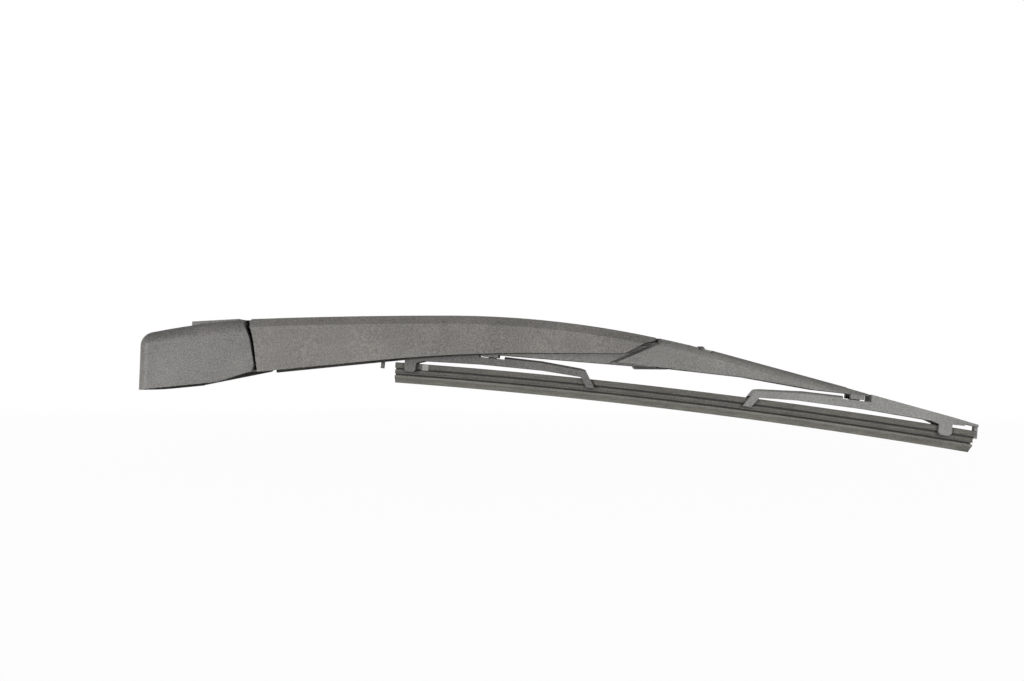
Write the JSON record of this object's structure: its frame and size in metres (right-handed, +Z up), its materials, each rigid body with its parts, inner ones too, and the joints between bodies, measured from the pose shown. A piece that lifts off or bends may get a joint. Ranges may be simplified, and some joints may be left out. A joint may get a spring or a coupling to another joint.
{
  "type": "wiper arm",
  "caption": "Rear wiper arm with its blade: hinged spindle head under a flip-up nut cover, arched channel arm, and a rocking bridge whose yokes carry a rubber lip.",
  "frame": {"origin": "spindle axis at the underside of the head's boss", "axes": "+X along the arm from the spindle towards the blade's outer end, +Z up the spindle axis"},
  "size_m": [0.4476, 0.029, 0.0698],
  "materials": {
    "cast_head": "matt black coated casting",
    "steel": "plain turned steel",
    "spring_steel": "drawn spring wire",
    "pivot_steel": "blackened steel",
    "rail_steel": "rolled spring strip",
    "cover_plastic": "fine grained matt",
    "arm_plastic": "fine grained matt",
    "adapter_plastic": "smooth matt",
    "blade_plastic": "fine grained matt",
    "rubber": "dull extruded rubber"
  },
  "bodies": {
    "head": {"spindle_head": "cast_head", "hinge_pin": "steel", "cover_pin": "steel", "spring_pin": "steel"},
    "cover": {"nut_cover": "cover_plastic"},
    "arm": {"arm_channel": "arm_plastic", "anchor_pin": "steel", "tension_spring": "spring_steel", "blade_adapter": "adapter_plastic"},
    "blade": {"bridge": "blade_plastic", "blade_pin": "steel", "left_pivot_pin": "pivot_steel", "right_pivot_pin": "pivot_steel", "wiper_rubber": "rubber", "rail_near": "rail_steel", "rail_far": "rail_steel"},
    "yoke_left": {"left_yoke": "blade_plastic"},
    "yoke_right": {"right_yoke": "blade_plastic"}
  },
  "joints": [
    {"name": "arm_lift", "type": "hinge", "parent": "head", "child": "arm", "pos_m": [0.0544, 0, 0.031], "axis": [0, -1, 0], "range_deg": [0, 55], "stiffness_Nm_per_rad": 0.5, "springref_deg": -137.51, "deforming": ["tension_spring"]},
    {"name": "cover_flip", "type": "hinge", "parent": "head", "child": "cover", "pos_m": [0.0452, 0, 0.031], "axis": [0, 1, 0], "range_deg": [0, 95]},
    {"name": "blade_rock", "type": "hinge", "parent": "arm", "child": "blade", "pos_m": [0.28, 0, 0.01575], "axis": [0, -1, 0], "range_deg": [-3, 35]},
    {"name": "yoke_left_rock", "type": "hinge", "parent": "blade", "child": "yoke_left", "pos_m": [0.18419, 0, 0.01637], "axis": [0, -1, 0], "range_deg": [-3, 3], "stiffness_Nm_per_rad": 0.2, "deforming": ["wiper_rubber", "rail_near", "rail_far"]},
    {"name": "yoke_right_rock", "type": "hinge", "parent": "blade", "child": "yoke_right", "pos_m": [0.37364, 0, -0.00455], "axis": [0, -1, 0], "range_deg": [-3, 3], "stiffness_Nm_per_rad": 0.2, "deforming": ["wiper_rubber", "rail_near", "rail_far"]}
  ]
}
